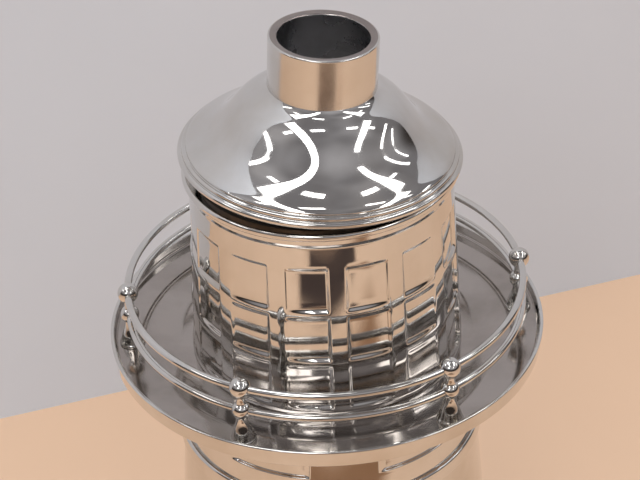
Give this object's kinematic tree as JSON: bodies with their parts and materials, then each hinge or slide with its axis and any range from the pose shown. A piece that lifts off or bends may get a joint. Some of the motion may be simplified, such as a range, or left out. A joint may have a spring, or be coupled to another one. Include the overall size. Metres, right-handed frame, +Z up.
{
  "type": "cocktail shaker",
  "caption": "Lighthouse-shaped cocktail shaker in plated metal with a railed gallery, an embossed lantern drum and a lift-off bell-shaped lid with an open spout.",
  "frame": {"origin": "centre of the foot, on the surface that the shaker stands on", "axes": "+Z up along the tower, -Y towards the front"},
  "size_m": [0.14, 0.14, 0.3449],
  "materials": {
    "polished_plate": "mirror-polished nickel plate",
    "deck_plate": "satin plated sheet, handled",
    "spout_steel": "lathe-turned and polished",
    "fixing_steel": "plain turned",
    "seal_rubber": "matt moulded rubber"
  },
  "bodies": {
    "vessel": {"base_foot": "polished_plate", "base_plate": "deck_plate", "tower_wall": "polished_plate", "tower_belt": "polished_plate", "gallery_deck": "deck_plate", "lantern_drum": "polished_plate", "lower_rail": "polished_plate", "upper_rail": "polished_plate", "stanchion_1": "polished_plate", "stanchion_2": "polished_plate", "stanchion_3": "polished_plate", "stanchion_4": "polished_plate", "stanchion_5": "polished_plate", "stanchion_6": "polished_plate", "stanchion_nuts": "fixing_steel"},
    "seal": {"plug_seal": "seal_rubber"},
    "lid": {"roof_shell": "polished_plate", "plug_sleeve": "polished_plate", "spout_tube": "spout_steel", "strainer_plate": "spout_steel"}
  },
  "joints": [
    {"name": "lid_lift", "type": "slide", "parent": "vessel", "child": "seal", "axis": [0, 0, 1], "range_m": [0, 0.1]},
    {"name": "lid_turn", "type": "hinge", "parent": "seal", "child": "lid", "pos_m": [-0.00048, 0.00003, 0.29961], "axis": [0.0609, -0.0043, 0.9981], "continuous": true}
  ]
}
